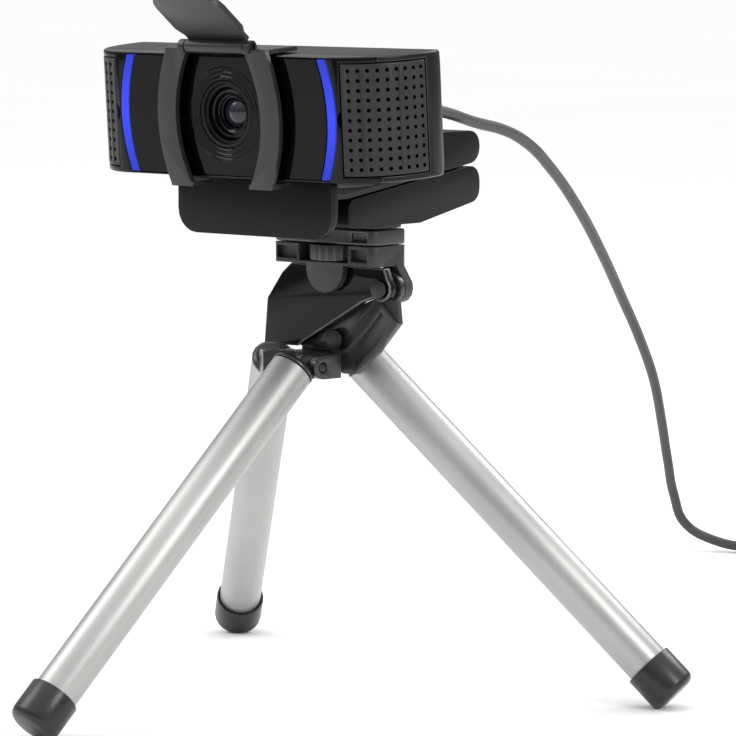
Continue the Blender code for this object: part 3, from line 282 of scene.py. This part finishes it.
# size and place in metres, power in watts
lights = {
    "highLeftBox": {"place": (-0.75, -0.55, 0.95), "size": 0.6, "power": 4.5},
    "rightStrip": {"place": (1.0, -0.1, 0.55), "size": 0.35, "power": 3.6},
    "backRim": {"place": (0.25, 1.0, 0.8), "size": 0.5, "power": 4.0},
}
lightsAimAt = Vector((0, 0, 0.09))
for lightName, lightSettings in lights.items():
    lamp = bpy.data.lights.new(lightName, "AREA")
    lamp.shape = "SQUARE"
    lamp.size = lightSettings["size"]
    lamp.energy = lightSettings["power"]
    holder = bpy.data.objects.new(lightName, lamp)
    bpy.context.collection.objects.link(holder)
    holder.location = lightSettings["place"]
    holder.rotation_euler = (lightsAimAt - holder.location).to_track_quat("-Z", "Y").to_euler()

# a studio that is dim at eye level and bright overhead
skySettings = {"atEyeLevel": 0.16, "overhead": 1.5}
world = bpy.data.worlds.new("studio")
bpy.context.scene.world = world
world.use_nodes = True
skyNodes = world.node_tree.nodes
skyLinks = world.node_tree.links
skyPlace = skyNodes.new("ShaderNodeTexCoord")
skyHeight = skyNodes.new("ShaderNodeSeparateXYZ")
skyRange = skyNodes.new("ShaderNodeMapRange")
skyRange.inputs["To Min"].default_value = skySettings["atEyeLevel"]
skyRange.inputs["To Max"].default_value = skySettings["overhead"]
skyLinks.new(skyPlace.outputs["Generated"], skyHeight.inputs["Vector"])
skyLinks.new(skyHeight.outputs["Z"], skyRange.inputs["Value"])
skyLinks.new(skyRange.outputs["Result"], skyNodes["Background"].inputs["Strength"])
skyNodes["Background"].inputs["Color"].default_value = (1.0, 1.0, 1.0, 1.0)
bpy.context.scene.view_settings.view_transform = "Standard"

# the floor lies a hair under the feet; both in metres
floorSettings = {"radius": 30.0, "drop": 0.0002}
bpy.ops.object.select_all(action="DESELECT")
bpy.ops.mesh.primitive_circle_add(
    vertices=64, radius=floorSettings["radius"], fill_type="NGON", location=(0, 0, -floorSettings["drop"])
)
floor = bpy.context.object
floor.name = "floor"
floorFinish = Finish("floorPaint", {"Specular IOR Level": 0.1})
floorCloud = floorFinish.noise(3.0, 2.0)
floorFinish.feed("Base Color", floorFinish.mix(floorCloud, shade(0.93), shade(0.96)))
floorFinish.feed("Roughness", floorFinish.spread(floorCloud, 0.3, 0.7, 0.75, 0.9))
floor.data.materials.append(floorFinish.material)
print("camera, lights and floor made")

# the lead in millimetres: out of the gland, down to the table, into a tied coil and to its plug
lead = {
    "diameter": 2.9,
    "route": [
        (22, 17, 148), (22, 27, 147), (21, 40, 145), (18, 55, 142), (15, 72, 139), (12, 85, 135),
        (6, 102, 128), (-4, 126, 117), (-19, 158, 101), (-32, 185, 86), (-41, 206, 72), (-49, 224, 58),
        (-57, 239, 44), (-64, 252, 30), (-68, 261, 18), (-69, 269, 8), (-63, 275, 3.2), (-50, 277, 1.7),
        (-37, 275.6, 1.6),
    ],
    "coilCentre": (-14, 267),
    "entryAngle": 130,
    "pointsPerTurn": 14,
    "pathSteps": 5,
    "roundSteps": 4,
    "tail": [(6.35, 260.5, 4.6), (6.35, 254.0, 4.1), (6.35, 248.0, 4.0)],
}
# radius and height of the winding at each count of turns
winding = [
    (0.0, 20.35, 2.35), (3.0, 11.65, 2.35), (3.3, 11.65, 5.3), (4.0, 11.65, 5.3), (6.0, 17.45, 5.3),
    (6.3, 16.58, 8.2), (7.0, 14.55, 8.2), (9.0, 20.35, 8.2), (9.3, 20.35, 5.5), (9.361, 20.35, 5.3),
]


def windingAt(turn):
    for before, after in zip(winding, winding[1:]):
        if turn <= after[0]:
            share = (turn - before[0]) / (after[0] - before[0])
            rise = share * share * (3 - 2 * share)
            return before[1] + (after[1] - before[1]) * share, before[2] + (after[2] - before[2]) * rise
    return winding[-1][1], winding[-1][2]


leadPoints = [Vector(p) for p in lead["route"]]
turnSteps = round(winding[-1][0] * lead["pointsPerTurn"])
for step in range(turnSteps + 1):
    turn = winding[-1][0] * step / turnSteps
    radius, height = windingAt(turn)
    angle = math.radians(lead["entryAngle"] - 360 * turn)
    centreX, centreY = lead["coilCentre"]
    onTurn = (centreX + radius * math.cos(angle), centreY + radius * math.sin(angle), height)
    leadPoints.append(Vector(onTurn))
leadPoints += [Vector(p) for p in lead["tail"]]
leadCurve = bpy.data.curves.new("usb_lead", "CURVE")
leadCurve.dimensions = "3D"
leadCurve.bevel_depth = lead["diameter"] / 2 * mm
leadCurve.bevel_resolution = lead["roundSteps"]
leadCurve.resolution_u = lead["pathSteps"]
leadCurve.use_fill_caps = True
spline = leadCurve.splines.new("BEZIER")
spline.bezier_points.add(len(leadPoints) - 1)
for point, at in zip(spline.bezier_points, leadPoints):
    point.co = at * mm
    point.handle_left_type = "AUTO"
    point.handle_right_type = "AUTO"
usbLead = bpy.data.objects.new("usb_lead", leadCurve)
bpy.context.collection.objects.link(usbLead)
usbLead.data.materials.append(cordSheath.material)
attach(usbLead, "root")
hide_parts("cord_lead", "cord_coil")
print("lead made")


# CAD pieces whose edges are rounded off and shaded smooth
bodyOf = {}
for bodyName, holder in frame["bodies"].items():
    for nodeName, cadPiece in nodes.items():
        if cadPiece.parent == holder:
            bodyOf[nodeName] = bodyName


def onlySelect(made):
    bpy.ops.object.select_all(action="DESELECT")
    made.select_set(True)
    bpy.context.view_layer.objects.active = made


def applyModifier(made, kind, **settings):
    onlySelect(made)
    modifier = made.modifiers.new(kind.lower(), kind)
    for key, value in settings.items():
        setattr(modifier, key, value)
    bpy.ops.object.modifier_apply(modifier=modifier.name)


# weld distance in metres, the angle below which two faces are one flat, in degrees
copying = {"weld": 0.000004, "flat": 1.5}


def mergedCopy(nodeName, pieceName):
    made = bpy.data.objects.new(pieceName, nodes[nodeName].data.copy())
    bpy.context.collection.objects.link(made)
    made.data.materials.clear()
    onlySelect(made)
    bpy.ops.object.mode_set(mode="EDIT")
    bpy.ops.mesh.select_all(action="SELECT")
    bpy.ops.mesh.remove_doubles(threshold=copying["weld"])
    bpy.ops.mesh.normals_make_consistent(inside=False)
    bpy.ops.mesh.dissolve_limited(angle_limit=math.radians(copying["flat"]))
    bpy.ops.object.mode_set(mode="OBJECT")
    return made


def standIn(made, finish, slotName, *nodeNames):
    if finish:
        made.data.materials.append(finish.material)
    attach(made, bodyOf[nodeNames[0]])
    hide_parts(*nodeNames)


# angles in degrees: an edge sharper than the first is rounded, one flatter than the second shades smooth
rounding = {"sharp": 35, "smooth": 40, "segments": 3}


# the rounded edges are painted a little lighter than the faces between them, as a painted highlight
def roundedOff(nodeName, width, finish, slotName, edgeHighlightFinish):
    made = mergedCopy(nodeName, nodeName + "_rounded")
    made.data.materials.append(finish.material)
    # the second material paints a highlight on the bevel faces
    made.data.materials.append(edgeHighlightFinish.material)
    applyModifier(
        made, "BEVEL", width=width * mm, segments=rounding["segments"], limit_method="ANGLE",
        angle_limit=math.radians(rounding["sharp"]), miter_outer="MITER_ARC", harden_normals=False,
        material=1,
    )
    onlySelect(made)
    bpy.ops.object.shade_smooth_by_angle(angle=math.radians(rounding["smooth"]))
    standIn(made, None, slotName, nodeName)


# edge radius in millimetres, finish and record slot of each
roundedPieces = {
    "hub_body": (0.45, hubGrey, "grey_satin"),
    "hinge_arm": (0.45, hubGrey, "grey_satin"),
    "front_shield": (0.6, finishes["black_gloss"], "black_gloss"),
    "tilt_block": (0.45, platformGrey, "grey_satin"),
    "top_plate": (0.45, platformGrey, "grey_satin"),
    "top_pad": (0.2, finishes["rubber"], "rubber"),
    "clip_foot": (0.5, clipBlack, "grey_satin"),
    "clip_arm": (0.4, clipBlack, "grey_satin"),
    "shutter_clip": (0.5, shutterGrey, "grey_satin"),
    "shutter_flap": (0.45, shutterGrey, "black_satin"),
    "thumbwheel": (0.25, platformGrey, "black_satin"),
    "front_foot": (0.3, finishes["rubber"], "rubber"),
    "right_foot": (0.3, finishes["rubber"], "rubber"),
    "rear_foot": (0.3, finishes["rubber"], "rubber"),
    "front_leg_plug": (0.3, hubGrey, "black_satin"),
    "right_leg_plug": (0.3, hubGrey, "black_satin"),
    "rear_leg_plug": (0.3, hubGrey, "black_satin"),
    "front_leg_tube": (0.2, finishes["satin_aluminium"], "satin_aluminium"),
    "right_leg_tube": (0.2, finishes["satin_aluminium"], "satin_aluminium"),
    "rear_leg_tube": (0.2, finishes["satin_aluminium"], "satin_aluminium"),
    "usb_plug": (0.5, finishes["black_satin"], "black_satin"),
    "cord_tie": (0.25, finishes["rubber"], "rubber"),
    "arm_screw": (0.15, blackenedSteel, "steel"),
    "head_hinge_pin": (0.15, blackenedSteel, "steel"),
    "front_leg_pin": (0.1, blackenedSteel, "steel"),
    "right_leg_pin": (0.1, blackenedSteel, "steel"),
    "rear_leg_pin": (0.1, blackenedSteel, "steel"),
    "shutter_pin": (0.1, blackenedSteel, "steel"),
    "front_frame": (0.35, finishes["black_gloss"], "black_gloss"),
    "rear_shell": (0.35, finishes["black_satin"], "black_satin"),
    "usb_shell": (0.15, finishes["steel"], "steel"),
    "cable_gland": (0.25, finishes["black_satin"], "black_satin"),
}
# lighter edge materials: a painted highlight on each piece's rounded edges
paintedEdgeHighlights = {
    "hub_body": paintedHighlightGrey, "hinge_arm": paintedHighlightGrey, "front_shield": paintedHighlightGloss, "tilt_block": paintedHighlightGrey,
    "top_plate": paintedHighlightGrey, "clip_foot": paintedHighlightBlack, "clip_arm": paintedHighlightBlack, "shutter_clip": paintedHighlightGrey,
    "shutter_flap": paintedHighlightGrey, "thumbwheel": paintedHighlightGrey, "front_frame": paintedHighlightBlack,
    "rear_shell": paintedHighlightBlack,
    "front_leg_plug": paintedHighlightGrey, "right_leg_plug": paintedHighlightGrey, "rear_leg_plug": paintedHighlightGrey,
}
for nodeName, (width, finish, slotName) in roundedPieces.items():
    roundedOff(nodeName, width, finish, slotName, paintedEdgeHighlights.get(nodeName, finish))
print("rounded pieces made")

# webcam details in millimetres, in its own frame: tilt pin at the origin, pitched about X
webcam = {
    "pin": (3.459, 5.332, 131.6), "pitch": 3.85, "front": -26.4, "middle": 16.0,
    "flatHalf": 32.0, "halfWidth": 48.3, "sweep": 20.0, "power": 2 / 2.35, "lensHeight": 16.5,
}
webcamPitch = Matrix.Rotation(math.radians(webcam["pitch"]), 4, "X")
webcamPlace = Matrix.Translation(Vector(webcam["pin"]) * mm) @ webcamPitch


def placeOnWebcam(made):
    made.data.transform(webcamPlace)
    made.data.update()


# the curved end of the body seen from above, at a turn in degrees, with its outward direction
def endPoint(turn):
    half = webcam["halfWidth"] - webcam["flatHalf"]
    x = webcam["flatHalf"] + half * math.sin(math.radians(turn)) ** webcam["power"]
    y = webcam["front"] + webcam["sweep"] - webcam["sweep"] * math.cos(math.radians(turn)) ** webcam["power"]
    return Vector((x, y, 0))


def endCurveTable(start, end, count):
    return [endPoint(start + (end - start) * k / count) for k in range(count + 1)]


def alongCurve(table, distance):
    walked = 0.0
    for before, after in zip(table, table[1:]):
        length = (after - before).length
        if walked + length >= distance:
            direction = (after - before).normalized()
            at = before + direction * (distance - walked)
            return at, Vector((direction.y, -direction.x, 0))
        walked += length
    direction = (table[-1] - table[-2]).normalized()
    return table[-1], Vector((direction.y, -direction.x, 0))


# lengths in millimetres, angles in degrees; the margins before and after are in columns
grille = {
    "columns": 9, "rows": 11, "holeRadius": 0.5, "depth": 0.95, "start": 12.0, "end": 84.0,
    "rowPitch": 2.32, "sides": 12, "punch": 3.0, "before": 0.75, "after": 0.35, "samples": 160,
    "rim": 0.25, "rimAngle": 50, "smooth": 30,
}


def perforate(nodeName, sign):
    made = mergedCopy(nodeName, nodeName + "_perforated")
    made.data.materials.append(finishes["grille_grey"].material)
    made.data.materials.append(holeShadow.material)
    applyModifier(
        made, "BEVEL", width=grille["rim"] * mm, segments=2, limit_method="ANGLE",
        angle_limit=math.radians(grille["rimAngle"]),
    )
    table = endCurveTable(grille["start"], grille["end"], grille["samples"])
    total = sum((b - a).length for a, b in zip(table, table[1:]))
    punches = bmesh.new()
    for column in range(grille["columns"]):
        share = (column + grille["before"]) / (grille["columns"] + grille["after"])
        at, outward = alongCurve(table, total * share)
        for row in range(grille["rows"]):
            height = webcam["middle"] + (row - (grille["rows"] - 1) / 2) * grille["rowPitch"]
            spot = Vector((sign * at.x, at.y, height)) * mm
            facing = Vector((sign * outward.x, outward.y, 0)).normalized()
            turn = facing.to_track_quat("Z", "Y").to_matrix().to_4x4()
            reach = grille["punch"] * mm
            centre = spot + facing * (reach / 2 - grille["depth"] * mm)
            bmesh.ops.create_cone(
                punches, cap_ends=True, segments=grille["sides"], radius1=grille["holeRadius"] * mm,
                radius2=grille["holeRadius"] * mm, depth=reach,
                matrix=webcamPlace @ Matrix.Translation(centre) @ turn,
            )
    punchMesh = bpy.data.meshes.new("punches")
    punches.to_mesh(punchMesh)
    punches.free()
    punchMesh.materials.append(finishes["grille_grey"].material)
    punchMesh.materials.append(holeShadow.material)
    for face in punchMesh.polygons:
        face.material_index = 1
    tool = bpy.data.objects.new("punches", punchMesh)
    bpy.context.collection.objects.link(tool)
    applyModifier(made, "BOOLEAN", operation="DIFFERENCE", object=tool, solver="EXACT", material_mode="INDEX")
    bpy.data.objects.remove(tool)
    onlySelect(made)
    bpy.ops.object.shade_smooth_by_angle(angle=math.radians(grille["smooth"]))
    standIn(made, None, "grille_grey", nodeName)


perforate("left_grille", -1)
perforate("right_grille", 1)
print("grilles perforated")


# turns an outline of (radius, depth) about the lens axis; depth runs along the webcam's own Y
def spunRing(pieceName, outline, sides):
    bpy.ops.object.select_all(action="DESELECT")
    bpy.ops.mesh.primitive_circle_add(vertices=3, radius=0.001)
    made = bpy.context.object
    made.name = pieceName
    shape = bmesh.new()
    ring = [shape.verts.new((r * mm, y * mm, webcam["lensHeight"] * mm)) for r, y in outline]
    for k in range(len(ring)):
        shape.edges.new((ring[k], ring[(k + 1) % len(ring)]))
    shape.to_mesh(made.data)
    shape.free()
    onlySelect(made)
    bpy.ops.object.mode_set(mode="EDIT")
    bpy.ops.mesh.select_all(action="SELECT")
    axisPoint = (0, 0, webcam["lensHeight"] * mm)
    bpy.ops.mesh.spin(steps=sides, angle=math.radians(360), center=axisPoint, axis=(0, 1, 0))
    bpy.ops.mesh.remove_doubles(threshold=0.000002)
    bpy.ops.mesh.select_all(action="SELECT")
    bpy.ops.mesh.normals_make_consistent(inside=False)
    bpy.ops.object.mode_set(mode="OBJECT")
    bpy.ops.object.shade_smooth_by_angle(angle=math.radians(30))
    placeOnWebcam(made)
    return made


front = webcam["front"]
# raised steps on the glass round the lens: the radius of each, and its section from there
glassSteps = {
    "radii": (8.5, 9.6, 10.7), "seat": 0.02, "height": 0.16, "topStart": 0.18, "topEnd": 0.5, "foot": 0.72,
    "outerRadius": 11.42, "buried": 0.25,
}
steps = []
for radius in glassSteps["radii"]:
    steps += [
        (radius, front - glassSteps["seat"]),
        (radius + glassSteps["topStart"], front - glassSteps["height"]),
        (radius + glassSteps["topEnd"], front - glassSteps["height"]),
        (radius + glassSteps["foot"], front - glassSteps["seat"]),
    ]
steps += [
    (glassSteps["outerRadius"], front + glassSteps["buried"]),
    (glassSteps["radii"][0], front + glassSteps["buried"]),
]
glassRings = spunRing("glass_rings", steps, sides=72)
glassRings.data.materials.append(finishes["glass"].material)
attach(glassRings, "webcam")

# stepped barrel, each land a little deeper than the last
barrel = [
    (8.0, front + 0.15), (7.3, front + 0.1), (7.0, front + 0.9), (6.5, front + 0.95), (6.5, -18.5),
    (8.0, -18.5),
]
steppedBarrel = spunRing("stepped_lens_barrel", barrel, sides=64)
standIn(steppedBarrel, finishes["black_satin"], "black_satin", "lens_barrel")
cell = [
    (6.2, -24.6), (5.7, -24.8), (5.2, -24.6), (5.05, -24.0), (4.5, -24.1), (4.2, -23.9), (4.1, -23.3),
    (3.75, -23.2), (3.7, -18.9), (6.2, -18.9),
]
lensCell = spunRing("stepped_lens_cell", cell, sides=64)
standIn(lensCell, finishes["black_gloss"], "steel", "lens_cell")
dome = [
    (0.0001, -24.05), (0.9, -23.95), (1.8, -23.7), (2.7, -23.25), (3.45, -22.6), (3.5, -19.4),
    (0.0001, -19.4),
]
lensDome = spunRing("lens_dome", dome, sides=48)
standIn(lensDome, lensCoat, "glass", "lens_element")
print("lens made")

# every CAD node takes its finish, and those not replaced keep their shape
for nodeName, cadPiece in nodes.items():
    slots = [slot.material.name for slot in cadPiece.material_slots if slot.material]
    slotName = slots[0] if slots else ""
    matching = [made for name, made in finishes.items() if slotName.startswith(name)]
    finish = matching[0] if matching else finishes["black_satin"]
    cadPiece.data.materials.clear()
    cadPiece.data.materials.append(finish.material)
